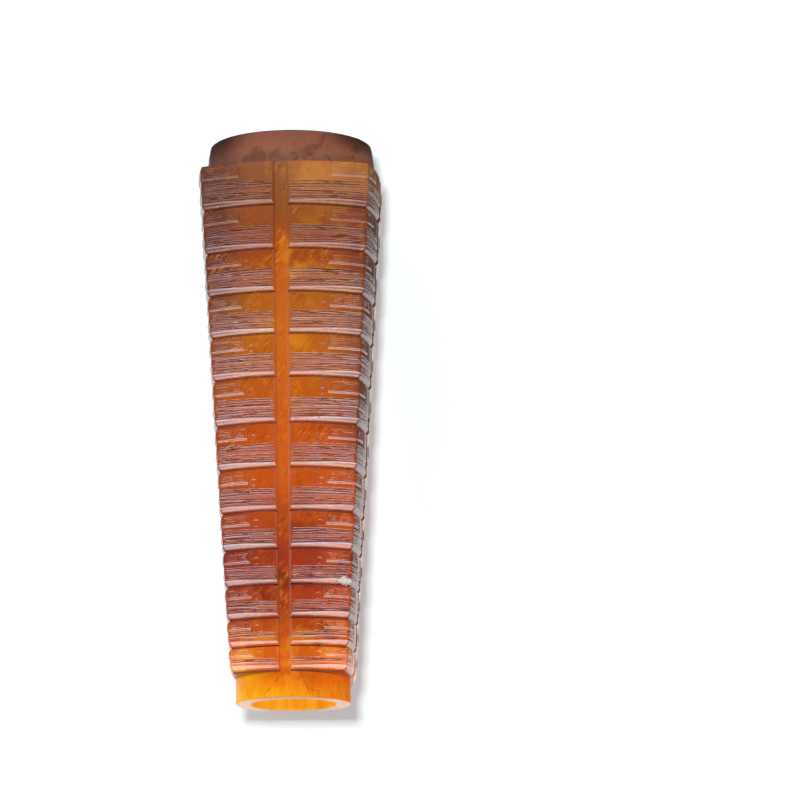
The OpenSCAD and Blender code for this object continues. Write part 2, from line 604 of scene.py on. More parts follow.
        eye_s = length + sizes.eye_gap + rng.uniform(-0.25, 0.25)
        eye_t = self.nose_line + rng.uniform(-0.35, 0.25)
        from_ring = np.hypot(s - eye_s, leaning - eye_t) - sizes.eye_d / 2
        ring, lip = tent(from_ring, -0.2, 0.3), tent(from_ring, 0.3, 0.3)

        relief = self.outline(leaning) + sizes.nose_relief * inside * below_top * slope
        relief = relief + self.ridge_height * ridge + 0.05 * lip
        relief = relief - np.maximum.reduce([cut, fret, self.eye_groove * ring])
        relief = relief - self.corner_wear * np.clip(1 - s / 0.7, 0, 1) ** 2

        band = smoothstep(self.band_top - 0.3, self.band_top + 0.2, leaning) * (leaning < self.arris)
        undercut = self.height - sizes.undercut_h
        # The tone paints light and shade: painted highlights on ridges, lips, the lit sides of lines and the
        # bar's roll, painted shade in cuts, down the ledge's slope and in the undercut
        tone = tones.ridge * ridge + tones.nose_ridge * nose_ridge + tones.eye_lip * lip
        tone = tone + tones.line * (lit - cut) / self.line_depth
        tone = tone + (tones.fret_rim * rim - tones.fret * fret) / self.fret_depth - tones.eye_ring * ring
        tone = tone + tones.roll * tent(leaning, self.arris + 0.4, 0.6, 1.3) * reach
        tone = tone - tones.slope * smoothstep(self.arris + 1.2, undercut, leaning)
        tone = tone - smoothstep(undercut - 0.35, undercut + 0.05, leaning)
        tone = tone + (tones.band * (1 - inwards) - tones.band_base) * band * band_reach
        return relief, tone

    def corner_relief(self, down: np.ndarray) -> np.ndarray:
        """The outline that all eight half faces share at their corners."""
        below_top, slope = self.nose(down)
        return self.outline(down) + self.sizes.nose_relief * below_top * slope - self.corner_wear

    def channel_tone(self, from_centre: np.ndarray, floor_half: float, side: int) -> np.ndarray:
        """How light the walls of a channel are: the right one faces the light, the left one lies in shade.

        Args:
            from_centre: Distance of each column from the channel's centre.
            floor_half: Half the width of its floor.
            side: -1 for the left half of the face, 1 for the right one.

        Returns:
            The tone of each column.
        """
        tones = self.tones
        wall = tent(from_centre, (floor_half + self.mouth / 2) / 2, 0.5, 1.6)
        if side > 0:
            return tones.right_wall * wall
        lip = tent(from_centre, self.mouth / 2, 0.45, 1.3)
        return tones.left_wall * (wall + lip) - tones.left_foot * tent(from_centre, floor_half - 0.3, 0.4)

    def half_lattice(
        self, face: int, side: int, down: np.ndarray
    ) -> tuple[np.ndarray, np.ndarray, np.ndarray]:
        """Every point of half a face, with the channel cut in.

        Args:
            face: The face, 0 at the front and then anticlockwise from above.
            side: -1 for its left half, 1 for its right one.
            down: Distances below the tier's top.

        Returns:
            Points as rows by columns by xyz, the tone at each, and whether it is in the channel.
        """
        sizes = self.sizes
        z = self.top - down
        centre = -side * sizes.front_channel_off if face == 0 else 0.0
        along = self.columns(centre)
        middle = self.half_face - along
        relief, tone = self.half_relief(along, down, centre)
        corner = self.corner_relief(down)
        relief = relief + (corner[:, None] - relief[:, :1]) * np.clip(1 - along / 1.5, 0, 1)

        from_centre = np.abs(middle - centre)
        floor = sizes.half_w(0) + sizes.taper * z - sizes.channel_depth - self.half
        floor_half = self.mouth / 2 - sizes.channel_depth * sizes.channel_flare
        wall = np.maximum(0, (from_centre - floor_half) / sizes.channel_flare)
        soft = 0.05
        gap = (relief - floor[:, None] - wall[None, :]) / soft
        relief = relief - soft * np.logaddexp(0, gap)
        lip = self.tones.channel_lip * tent(from_centre, self.mouth / 2, 0.45, 1.3)
        beside = np.maximum(tone, lip[None, :] - self.tones.cut_at_lip * (tone < -0.2))
        tone = np.where(gap > 0, self.channel_tone(from_centre, floor_half, side)[None, :], beside)

        corner_radius = sizes.bow_back + self.half + corner
        reach = np.arcsin(sizes.corner(self.half + corner) / corner_radius)
        angle = side * reach[:, None] * (middle / self.half_face)[None, :]
        radius = sizes.bow_back + self.half + relief
        x = radius * np.sin(angle)
        y = sizes.bow_back - radius * np.cos(angle)
        cos, sin = math.cos(face * math.pi / 2), math.sin(face * math.pi / 2)
        sunk = z[:, None] - self.sink(z)[:, None] * x * x
        points = np.stack([x * cos - y * sin, x * sin + y * cos, sunk], axis=-1)
        order = slice(None) if side < 0 else slice(None, None, -1)
        return points[:, order][:, :-1], tone[:, order][:, :-1], (gap > 0)[:, order][:, :-1]

    def lattice(self) -> tuple[np.ndarray, np.ndarray, np.ndarray]:
        """Every point of the tier's outer surface.

        Returns:
            Points as rows by columns by xyz in millimetres, the carving's tone at each, and whether it is
            in a channel.
        """
        down = self.rows()
        halves = [self.half_lattice(face, side, down) for face in range(4) for side in (-1, 1)]
        points, tones, troughs = (np.concatenate(values, axis=1) for values in zip(*halves))
        return points, tones, troughs

    def build(self, name: str) -> bpy.types.Object:
        """Models the tier as a closed ring of stone, from its carved face in to the bore.

        Args:
            name: Name of the piece.

        Returns:
            The finished object, with the carving's tone and the channel as point attributes.
        """
        points, tones, troughs = self.lattice()
        rows, columns = points.shape[:2]
        turns = np.arctan2(points[0, :, 1], points[0, :, 0])
        bore = self.sizes.bore_d / 2
        rings = []
        for z in (self.top, self.top - self.height):
            rings.append(np.stack([bore * np.cos(turns), bore * np.sin(turns), np.full(columns, z)], axis=-1))
        whole = np.concatenate([rings[0][None], points, rings[1][None], rings[0][None]], axis=0)
        whole = np.concatenate([whole, whole[:, :1]], axis=1)
        # The carving attribute carries the carving's painted highlights and painted shade
        marks = {"carving": tones, "channel": troughs}

        deselect()
        bpy.ops.mesh.primitive_grid_add(x_subdivisions=columns, y_subdivisions=rows + 2, size=1)
        piece = bpy.context.object
        piece.name = piece.data.name = name
        piece.data.vertices.foreach_set("co", (whole * MM).astype(np.float32).ravel())
        for mark, values in marks.items():
            spread_out = np.zeros(whole.shape[:2], np.float32)
            spread_out[1 : rows + 1, :columns] = values
            spread_out[:, columns] = spread_out[:, 0]
            piece.data.attributes.new(mark, "FLOAT", "POINT").data.foreach_set("value", spread_out.ravel())
        while piece.data.uv_layers:
            piece.data.uv_layers.remove(piece.data.uv_layers[0])
        bpy.ops.object.mode_set(mode="EDIT")
        bpy.ops.mesh.select_all(action="SELECT")
        bpy.ops.mesh.remove_doubles(threshold=1e-6)
        bpy.ops.mesh.normals_make_consistent(inside=False)
        bpy.ops.object.mode_set(mode="OBJECT")
        bpy.ops.object.shade_smooth_by_angle(angle=math.radians(50))
        return piece


# Collars


@dataclass
class Collar:
    """One round end of the tube, turned true and polished.

    Attributes:
        name: Name of the piece.
        outer_d: Its outer diameter, in millimetres.
        bore_d: Diameter of the bore.
        low: Height of its lower face.
        high: Height of its upper face.
        chamfer: Width of the worn edge at its free end.
        free_end_up: Whether the free end is the upper one.
        draw_in: How much smaller its radius is at the free end, where it was ground rounder.
        steps: Number of facets round it.
        unevenness: Depth of the unevenness that grinding by hand left.
    """

    name: str
    outer_d: float
    bore_d: float
    low: float
    high: float
    chamfer: float
    free_end_up: bool
    draw_in: float = 0.0
    steps: int = 360
    unevenness: float = 0.12

    def build(self) -> bpy.types.Object:
        """Draws the wall's cross-section, rounds its free edges and spins it about the bore.

        Returns:
            The finished collar.
        """
        deselect()
        wall = (self.outer_d - self.bore_d) / 2
        middle = (self.outer_d + self.bore_d) / 4
        centre = (middle * MM, 0, (self.low + self.high) / 2 * MM)
        bpy.ops.mesh.primitive_plane_add(size=1, location=centre, rotation=(math.pi / 2, 0, 0))
        piece = bpy.context.object
        piece.name = piece.data.name = self.name
        piece.scale = (wall * MM, (self.high - self.low) * MM, 1)
        bpy.ops.object.transform_apply(location=True, rotation=True, scale=True)
        bpy.ops.object.mode_set(mode="EDIT")
        bpy.ops.mesh.select_mode(type="VERT")
        bpy.ops.mesh.select_all(action="DESELECT")
        free = self.high if self.free_end_up else self.low
        shape = bmesh.from_edit_mesh(piece.data)
        for vertex in shape.verts:
            vertex.select = abs(vertex.co.z - free * MM) < 1e-6
        shape.select_flush_mode()
        bmesh.update_edit_mesh(piece.data)
        bpy.ops.mesh.bevel(offset=self.chamfer * MM, segments=5, affect="VERTICES")
        bpy.ops.mesh.select_all(action="SELECT")
        bpy.ops.mesh.delete(type="ONLY_FACE")
        self.split_wall(piece)
        bpy.ops.mesh.select_all(action="SELECT")
        bpy.ops.mesh.spin(steps=self.steps, angle=2 * math.pi, center=(0, 0, 0), axis=(0, 0, 1))
        bpy.ops.mesh.select_all(action="SELECT")
        bpy.ops.mesh.remove_doubles(threshold=1e-6)
        bpy.ops.mesh.normals_make_consistent(inside=False)
        bpy.ops.object.mode_set(mode="OBJECT")
        self.wear(piece)
        deselect()
        piece.select_set(True)
        bpy.context.view_layer.objects.active = piece
        bpy.ops.object.shade_smooth_by_angle(angle=math.radians(40))
        return piece

    def split_wall(self, piece: bpy.types.Object) -> None:
        """Divides the upright edges of the cross-section, so that the wall can be uneven.

        Args:
            piece: The cross-section, in edit mode.
        """
        bpy.ops.mesh.select_all(action="DESELECT")
        shape = bmesh.from_edit_mesh(piece.data)
        for edge in shape.edges:
            upright = abs(edge.verts[0].co.x - edge.verts[1].co.x) < 1e-7
            edge.select = edge.calc_length() > 2 * self.chamfer * MM and upright
        bmesh.update_edit_mesh(piece.data)
        bpy.ops.mesh.select_mode(type="EDGE")
        bpy.ops.mesh.subdivide(number_cuts=11)
        bpy.ops.mesh.select_mode(type="VERT")

    def wear(self, piece: bpy.types.Object) -> None:
        """Makes the outer wall slightly uneven, as by hand grinding, and draws in its upper end.

        Args:
            piece: The collar.
        """
        outer = self.outer_d / 2 * MM
        for vertex in piece.data.vertices:
            radius = math.hypot(vertex.co.x, vertex.co.y)
            if radius < outer - 1.5 * self.chamfer * MM:
                continue
            wave = noise.noise(vertex.co / (14 * MM)) + 0.4 * noise.noise(vertex.co / (4 * MM))
            share = (vertex.co.z / MM - self.low) / (self.high - self.low)
            inwards = self.unevenness * (0.5 + 0.5 * wave) + self.draw_in * max(0.0, share) ** 2.5
            pull = 1 - inwards * MM / radius
            vertex.co.x *= pull
            vertex.co.y *= pull


# Lime


@dataclass
class LimePatch:
    """The granular white crust on the bar of one tier, beside its right-hand corner, in millimetres.

    Attributes:
        sizes: The cong's driving sizes.
        tier: The tier, counted from 1 at the top.
        length: Its length along the bar.
        height: Its height at its highest place.
        inset: How far it stays from the corner.
        grains: Number of grains.
        grain_r: Radius of a grain.
        voxel: Size of the cells in which the grains melt together.
    """

    sizes: CongSizes
    tier: int = 10
    length: float = 6.0
    height: float = 4.6
    inset: float = 0.2
    grains: int = 210
    grain_r: float = 0.3
    voxel: float = 0.12

    def build(self, name: str) -> bpy.types.Object:
        """Scatters grains over the patch and melts them into one crust.

        Args:
            name: Name of the piece.

        Returns:
            The crust.
        """
        sizes, rng = self.sizes, random.Random(7)
        carved = CarvedTier(sizes, self.tier - 1)
        corner = float(sizes.corner(carved.half - sizes.band_step))
        deselect()
        bpy.ops.mesh.primitive_ico_sphere_add(subdivisions=2, radius=self.grain_r * MM)
        grain = bpy.context.object
        for _ in range(self.grains):
            share = rng.random()
            room = 0.5 * self.height * (1 - 0.75 * abs(2 * share - 0.9) ** 1.5)
            lift = max(-1.0, min(1.0, rng.gauss(0.0, 0.5))) * room
            down = carved.height - 0.5 - self.height / 2 - lift
            across = corner - self.inset - self.length * share
            radius = sizes.bow_back + carved.half + float(carved.outline(np.array([down]))[0])
            out = radius * math.cos(math.asin(across / radius)) - sizes.bow_back
            copy = grain.copy()
            copy.data = grain.data.copy()
            bpy.context.collection.objects.link(copy)
            z = carved.top - down
            sunk = z - float(carved.sink(np.array(z))) * across**2
            copy.location = Vector((across, -out - rng.uniform(-0.15, 0.2), sunk)) * MM
            copy.scale = [rng.uniform(0.5, 1.3) for _ in range(3)]
            copy.select_set(True)
        grain.select_set(False)
        bpy.context.view_layer.objects.active = copy
        bpy.data.objects.remove(grain)
        bpy.ops.object.join()
        piece = bpy.context.object
        piece.name = piece.data.name = name
        bpy.ops.object.transform_apply(location=True, rotation=True, scale=True)
        remesh = piece.modifiers.new("melt", "REMESH")
        remesh.mode = "VOXEL"
        remesh.voxel_size = self.voxel * MM
        remesh.use_smooth_shade = True
        bpy.ops.object.modifier_apply(modifier=remesh.name)
        for vertex in piece.data.vertices:
            vertex.co += vertex.normal * noise.noise(vertex.co / (0.5 * MM)) * 0.1 * MM
        return piece


# Finishes


def add(
    tree: Tree,
    kind: str,
    settings: dict | None = None,
    links: dict | None = None,
    stops: tuple[tuple[float, str], ...] = (),
    **props: object,
) -> bpy.types.Node:
    """Adds a shader node.

    Args:
        tree: The tree that gets it.
        kind: The node's type, without the ShaderNode that starts it.
        settings: Values for inputs, by name or number.
        links: Sockets that feed inputs, by name or number.
        stops: Places and hex colours, where the node is a colour ramp.
        **props: The node's own settings.

    Returns:
        The node.
    """
    node = tree.nodes.new("ShaderNode" + kind)
    for name, value in props.items():
        setattr(node, name, value)
    for key, value in (settings or {}).items():
        node.inputs[key].default_value = value
    for key, socket in (links or {}).items():
        tree.links.new(socket, node.inputs[key])
    if stops:
        elements = node.color_ramp.elements
        while len(elements) < len(stops):
            elements.new(0.5)
        for element, (place, code) in zip(elements, stops):
            element.position = place
            element.color = srgb(code)
    return node


class Read(Enum):
    """What nodes can read at a point: places and distances in metres, marks of the carving, and noises."""

    ACROSS = "place to the right of the bore's axis"
    BACK = "place behind it"
    HEIGHT = "height above the foot"
    FROM_MIDDLE = "distance to either side of the axis"
    FROM_CHANNEL = "distance to either side of the front channel"
    FROM_AXIS = "distance from the axis all round"
    OUTWARDS = "place to the right, as a share of half the tower's width there"
    REACH = "distance from the axis as such a share, made hazy"
    LEVEL = "height as a share of the whole, made cloudy"
    UPWARD = "how far the surface faces up"
    # The carving's painted shade in cuts and painted highlights on ridges
    CARVING = "tone of the carving, below 0 in a cut and above 0 on a ridge"
    CHANNEL = "1 in an upright channel"
    FLECKED = "how flecked the stone is"
    DRIFT = "broad clouds"
    HAZE = "clouds that uneven a layer's edge"
    CLOUDS = "ochre clouds"
    STAINS = "brown stains on the collar"
    VEINS = "dark veins near the foot"
    FLECKS = "slanting flecks"
    PATCHES = "where the flecks gather"
    STREAKS = "upright streaks at the foot"
    YELLOWING = "yellow clouds at the foot"
    HONEY = "upright clouds in the bore"
    GAPS = "gaps that break a fissure"
    SCUFFS = "scuffs in the polish"
    # Painted highlight colour of a raised line
    LINE_HIGHLIGHT = "colour of a raised line"
    # Colour of the bore, brightened as painted glow
    HONEY_GLOW_COLOUR = "colour of the bore"


class Lie(Enum):
    """How a noise lies: its turn about the axis from front to back, and how far it is drawn out."""

    EVEN = (0.0, 1.0)
    SLANTING = (0.7, 3.6)
    UPRIGHT = (0.0, 9.0)


@dataclass(frozen=True)
class Grain:
    """A noise in the stone, whose clouds are about its size in millimetres across."""

    size: float
    detail: float
    roughness: float = 0.55
    distortion: float = 0.0
    lie: Lie = Lie.EVEN


@dataclass(frozen=True)
class Window:
    """Fades smoothly from start to end while a reading goes from low to high, which may be the lower one."""

    reading: Read
    low: float
    high: float
    start: float = 0.0
    end: float = 1.0


@dataclass(frozen=True)
class Layer:
    """A hex colour, or one that is read, laid over the stone as strongly as all of its windows together."""

    colour: str | Read
    windows: tuple[Window | Read, ...]


@dataclass
class Brush:
    """Lays colours on a material by what its nodes read at each point.

    Attributes:
        tree: The material's nodes.
        read: The socket that holds each reading.
        faded: The socket of each window that has been built.
    """

    tree: Tree
    read: dict[Read, Socket]
    faded: dict[Window, Socket] = field(default_factory=dict)

    def strength(self, *windows: Window | Read) -> Socket:
        """The product of windows, and of readings that count as they are.

        Args:
            *windows: The windows and readings.

        Returns:
            Its socket.
        """
        product = None
        for window in windows:
            if isinstance(window, Window) and window not in self.faded:
                ranges = {1: window.low, 2: window.high, 3: window.start, 4: window.end}
                source = {0: self.read[window.reading]}
                fade = add(self.tree, "MapRange", ranges, source, interpolation_type="SMOOTHSTEP")
                self.faded[window] = fade.outputs[0]
            factor = self.faded[window] if isinstance(window, Window) else self.read[window]
            if product is not None:
                both = {0: product, 1: factor}
                factor = add(self.tree, "Math", links=both, operation="MULTIPLY").outputs[0]
            product = factor
        return product

    def lay(self, colour: Socket, layers: tuple[Layer, ...]) -> Socket:
        """Lays colours over one another.

        Args:
            colour: The lowest colour.
            layers: What lies over it, in order.

        Returns:
            The colour that they make.
        """
        for layer in layers:
            links = {0: self.strength(*layer.windows), 6: colour}
            settings = {}
            if isinstance(layer.colour, Read):
                links[7] = self.read[layer.colour]
            else:
                settings[7] = srgb(layer.colour)
            colour = add(self.tree, "Mix", settings, links, data_type="RGBA").outputs[2]
        return colour


@dataclass(frozen=True)
class Fissure:
    """A healed crack that shows at the surface of the front.

    Attributes:
        course: Its points as places to the right and heights, in millimetres.
        width: How far from its course it fades out.
        colour: Its hex colour.
        share: How strongly it shows.
    """

    course: tuple[tuple[float, float], ...]
    width: float
    colour: str = "74280c"
    share: float = 0.85

    def mask(self, tree: Tree, flat: Socket) -> Socket:
        """How much of the crack shows at a point.

        Args:
            tree: The tree that gets the nodes.
            flat: The point with its depth taken away, in metres.

        Returns:
            The socket of its strength.
        """
        nearest = None
        for (x0, z0), (x1, z1) in zip(self.course, self.course[1:]):
            start, run = Vector((x0, 0, z0)) * MM, Vector((x1 - x0, 0, z1 - z0)) * MM
            away = add(tree, "VectorMath", {1: start}, {0: flat}, operation="SUBTRACT").outputs[0]
            share = add(tree, "VectorMath", {1: run / run.length_squared}, {0: away}, operation="DOT_PRODUCT")
            held = add(tree, "Clamp", links={0: share.outputs["Value"]}).outputs[0]
            along = add(tree, "VectorMath", {0: run}, {"Scale": held}, operation="SCALE").outputs[0]
            off = add(tree, "VectorMath", links={0: away, 1: along}, operation="DISTANCE").outputs["Value"]
            if nearest is not None:
                off = add(tree, "Math", links={0: nearest, 1: off}, operation="MINIMUM").outputs[0]
            nearest = off
        fade = {1: self.width * MM, 2: 0.25 * self.width * MM, 4: self.share}
        return add(tree, "MapRange", fade, {0: nearest}, interpolation_type="SMOOTHSTEP").outputs[0]


# Windows that several layers share
ON_COLLAR = Window(Read.HEIGHT, 0.2575, 0.2595)
ABOVE_MIDDLE = Window(Read.HEIGHT, 0.115, 0.15)
AT_FOOT = Window(Read.HEIGHT, 0.0135, 0.0115, 0.0, 0.6)
IN_BORE = Window(Read.FROM_AXIS, 0.0215, 0.0208)
UNDERSIDE = Window(Read.UPWARD, -0.9, -0.97, 0.0, 0.7)
# Painted highlights of the carving, weaker towards the top and on the right-hand face
LIT_CARVING = (Window(Read.HEIGHT, 0.25, 0.15, 0.25, 1.0), Window(Read.OUTWARDS, 0.925, 0.965, 1.0, 0.7))
FLECK_PLACES = (
    Read.FLECKED,
    Window(Read.CARVING, 0.16, 0.05),
    Window(Read.HEIGHT, 0.2595, 0.2575, 0.3, 1.0),
    Window(Read.PATCHES, 0.42, 0.6, 0.15, 1.0),
)


@dataclass(frozen=True)
class JadeFinish:
    """Nephrite jade in amber and russet: ground, cut with sand and polished to a waxy gloss.

    It lets light in a few millimetres, so thin walls glow. Its colour is browner towards the wide end and
    brighter and yellower towards the narrow end, partly the stone's own colour and partly painted glow, and
    the narrow end glows further with painted emission.

    Attributes:
        name: The material's name.
        roughness: Roughness of the polish. Scuffs of less than a millimetre vary it, which keeps the
            highlights waxy.
        refraction: Its index of refraction.
        depth: How far light goes in, in millimetres.
        height: Height of the tube, in metres.
        half_low: Half the tower's width at its foot, in metres.
        half_rise: How much half the width grows with height.
        channel_off: How far the front channel stands to the left, in metres.
        stops: The stone's ground colour from the foot to the rim, brighter and yellower towards the foot
            partly as painted glow.
        grains: Its noises.
        layers: Clouds, painted shade and sheen, veins, flecks and the carving's painted shade and highlights
            over the ground colour, from the lowest.
        fissures: The healed cracks over these.
        last_layers: What lies over the cracks.
        line_highlight_stops: Painted highlight colour of a raised line on the face, and in a channel.
        honey_glow_stops: Colour of the bore, the stone's honey colour brightened as painted glow.
    """

    name: str = "polished_nephrite_jade"
    roughness: float = 0.15
    refraction: float = 1.61
    depth: float = 2.6
    height: float = 0.275
    half_low: float = 0.0293
    half_rise: float = 0.0598
    channel_off: float = 0.0018
    stops: tuple[tuple[float, str], ...] = (
        (0.0, "ffae0a"),
        (0.022, "f28204"),
        (0.044, "d86206"),
        (0.080, "dc620e"),
        (0.129, "b64210"),
        (0.184, "b03a18"),
        (0.247, "a4361a"),
        (0.315, "be4c14"),
        (0.390, "cc5610"),
        (0.466, "c45010"),
        (0.543, "c45a10"),
        (0.620, "be6214"),
        (0.696, "b4601a"),
        (0.772, "a44c1c"),
        (0.849, "985028"),
        (0.925, "925c3a"),
        (0.960, "a26648"),
        (1.0, "8a584a"),
    )
    grains: tuple[tuple[Read, Grain], ...] = (
        (Read.DRIFT, Grain(42, 4)),
        (Read.HAZE, Grain(9, 4)),
        (Read.CLOUDS, Grain(12, 6, distortion=0.4)),
        (Read.STAINS, Grain(11, 6, distortion=0.5)),
        (Read.VEINS, Grain(13, 6, distortion=0.6)),
        (Read.FLECKS, Grain(1.1, 4, 0.6, 0.6, Lie.SLANTING)),
        (Read.PATCHES, Grain(14, 3)),
        (Read.STREAKS, Grain(1.0, 5, 0.6, lie=Lie.UPRIGHT)),
        (Read.YELLOWING, Grain(9, 4, distortion=0.4)),
        (Read.HONEY, Grain(5, 5, lie=Lie.UPRIGHT)),
        (Read.GAPS, Grain(1.2, 3)),
        (Read.SCUFFS, Grain(0.8, 5)),
    )
    layers: tuple[Layer, ...] = (
        # Painted shade on the corners in dark russet, where the stone is thickest and lets the least light
        # through
        Layer("66302a", (Window(Read.REACH, 1.04, 1.3, 0, 0.35), Window(Read.HEIGHT, 0.018, 0.05))),
        # Ochre clouds in the upper half
        Layer(
            "b87a1c",
            (ABOVE_MIDDLE, Window(Read.CLOUDS, 0.5, 0.68), Window(Read.HEIGHT, 0.262, 0.235, 0, 0.45)),
        ),
        # Amber clouds by the front channel
        Layer(
            "e88c14",
            (
                Window(Read.FROM_CHANNEL, 0.018, 0.007),
                Window(Read.CLOUDS, 0.5, 0.68),
                Window(Read.HEIGHT, 0.228, 0.212, 0, 0.6),
                ABOVE_MIDDLE,
            ),
        ),
        # Painted shade at the upper left, down the right-hand face and along the right-hand edge
        Layer("503030", (Window(Read.ACROSS, -0.014, -0.034, 0, 0.6), Window(Read.HEIGHT, 0.13, 0.205))),
        Layer("34120e", (Window(Read.OUTWARDS, 0.925, 0.965, 0, 0.25), Window(Read.HEIGHT, 0.03, 0.11))),
        Layer(
            "5c221a",
            (
                Window(Read.HEIGHT, 0.07, 0.12),
                Window(Read.ACROSS, 0.026, 0.036),
                Window(Read.HEIGHT, 0.25, 0.21, 0, 0.38),
            ),
        ),
        # Vivid orange at the lower right, and a warm upper right
        Layer("e0600c", (Window(Read.ACROSS, 0.012, 0.024), Window(Read.HEIGHT, 0.125, 0.1, 0, 0.5))),
        Layer(
            "cc8644",
            (
                Window(Read.ACROSS, -0.002, 0.01),
                Window(Read.HEIGHT, 0.236, 0.248),
                Window(Read.HEIGHT, 0.2595, 0.2575),
                Window(Read.HAZE, 0.35, 0.62, 0.35, 0.8),
            ),
        ),
        # The collar: painted shade on its shoulders, a painted grey sheen on its lower part and brown stains
        Layer(
            "2c1410",
            (Window(Read.HEIGHT, 0.265, 0.274), Window(Read.FROM_MIDDLE, 0.014, 0.036, 0, 0.8), ON_COLLAR),
        ),
        Layer("7a6260", (Window(Read.HEIGHT, 0.269, 0.261, 0, 0.4), ON_COLLAR)),
        Layer("4c2c22", (Window(Read.STAINS, 0.5, 0.66, 0, 0.5), ON_COLLAR)),
        # Dark red veins in the lower third
        Layer(
            "7e2410",
            (
                Window(Read.VEINS, 0.54, 0.62),
                Window(Read.HEIGHT, 0.12, 0.06, 0, 0.7),
                Window(Read.HEIGHT, 0.014, 0.03),
            ),
        ),
        # Slanting flecks on plain stone, bright ones and dark ones
        Layer("e0841c", (Window(Read.FLECKS, 0.48, 0.66), *FLECK_PLACES)),
        Layer("7c2e10", (Window(Read.FLECKS, 0.46, 0.3), *FLECK_PLACES)),
        # The foot: yellow clouds, a yellow left and an orange right, and upright streaks
        Layer("f2961a", (Window(Read.YELLOWING, 0.46, 0.62, 0, 0.6), Window(Read.HEIGHT, 0.045, 0.02))),
        Layer("ffb01a", (Window(Read.ACROSS, -0.004, -0.02), AT_FOOT)),
        Layer("e4660a", (Window(Read.ACROSS, 0.004, 0.026), AT_FOOT)),
        Layer("d45c08", (Window(Read.STREAKS, 0.5, 0.7), AT_FOOT)),
        Layer("ffb81c", (Window(Read.STREAKS, 0.5, 0.3), Window(Read.HEIGHT, 0.009, 0.002, 0, 0.6))),
        # Light that comes through the thin stone behind a channel
        Layer(
            "e0701c",
            (
                Window(Read.CHANNEL, 0.3, 1, 0, 0.42),
                Window(Read.HEIGHT, 0.24, 0.19),
                Window(Read.HEIGHT, 0.088, 0.11),
            ),
        ),
        # The carving: painted shade in the cuts, painted highlights on the raised lines and brighter painted
        # highlights on the sharpest of them
        Layer("4c180e", (Window(Read.CARVING, 0.05, -0.8, 0, 0.8),)),
        Layer(Read.LINE_HIGHLIGHT, (Window(Read.CARVING, 0.1, 1, 0, 0.6), *LIT_CARVING)),
        Layer("ece4ee", (Window(Read.CARVING, 0.95, 1.7, 0, 0.85), *LIT_CARVING)),
    )
    fissures: tuple[Fissure, ...] = (
        Fissure(((-2.0, 12.5), (-12.0, 1.6)), 0.28),
        Fissure(((5.0, 12.5), (9.5, 3.0)), 0.3),
        Fissure(((9.8, 3.8), (14.2, 3.4), (14.4, 1.2)), 0.25),
        Fissure(((-19.0, 9.0), (-21.0, 1.5)), 0.18),
        Fissure(((22.5, 10.5), (24.0, 1.5)), 0.18),
        Fissure(
            ((24.5, 191), (21, 172), (18, 160), (17.5, 149), (15, 128), (14, 100), (9, 84)),
            width=0.5,
            colour="66607a",
            share=0.6,
        ),
    )
    last_layers: tuple[Layer, ...] = (
        # Painted reflection on the pale flat of the foot, and in the bore near it the stone's honey colour
        # brightened as painted glow
        Layer("ffcaa0", (UNDERSIDE, Window(Read.HEIGHT, 0.002, 0.001))),
        Layer(Read.HONEY_GLOW_COLOUR, (Window(Read.HEIGHT, 0.12, 0.04), IN_BORE)),
    )
    line_highlight_stops: tuple[tuple[float, str], ...] = ((0.2, "b48684"), (0.6, "e2a07a"))
    honey_glow_stops: tuple[tuple[float, str], ...] = ((0.35, "f59e16"), (0.62, "ffc62c"))

    def noises(self, tree: Tree, place: Socket) -> dict[Read, Socket]:
        """Adds the stone's noises.

        Args:
            tree: The material's nodes.
            place: The point's own coordinates.

        Returns:
            The socket of each noise.
        """
        lying = {}
        for lie in Lie:
            turn, drawn_out = lie.value
            frame = {"Rotation": (0.0, turn, 0.0), "Scale": (1.0, 1.0, drawn_out)}
            lying[lie] = add(tree, "Mapping", frame, {0: place}, vector_type="TEXTURE").outputs[0]
        made = {}
        for reading, grain in self.grains:
            settings = {
                "Scale": 1 / (grain.size * MM),
                "Detail": grain.detail,
                "Roughness": grain.roughness,
                "Distortion": grain.distortion,
            }
            made[reading] = add(tree, "TexNoise", settings, {"Vector": lying[grain.lie]}).outputs[0]
        return made

    def readings(self, tree: Tree, place: Socket) -> dict[Read, Socket]:
        """Adds the nodes that read places, marks and noises.

        Args:
            tree: The material's nodes.
            place: The point's own coordinates.

        Returns:
            The socket of each reading.
        """
        read = self.noises(tree, place)
        x, y, z = add(tree, "SeparateXYZ", links={0: place}).outputs
        read.update({Read.ACROSS: x, Read.BACK: y, Read.HEIGHT: z})
        normal = add(tree, "NewGeometry").outputs["Normal"]
        read[Read.UPWARD] = add(tree, "SeparateXYZ", links={0: normal}).outputs[2]
        for reading, mark in ((Read.CARVING, "carving"), (Read.CHANNEL, "channel")):
            read[reading] = add(tree, "Attribute", attribute_name=mark).outputs["Fac"]

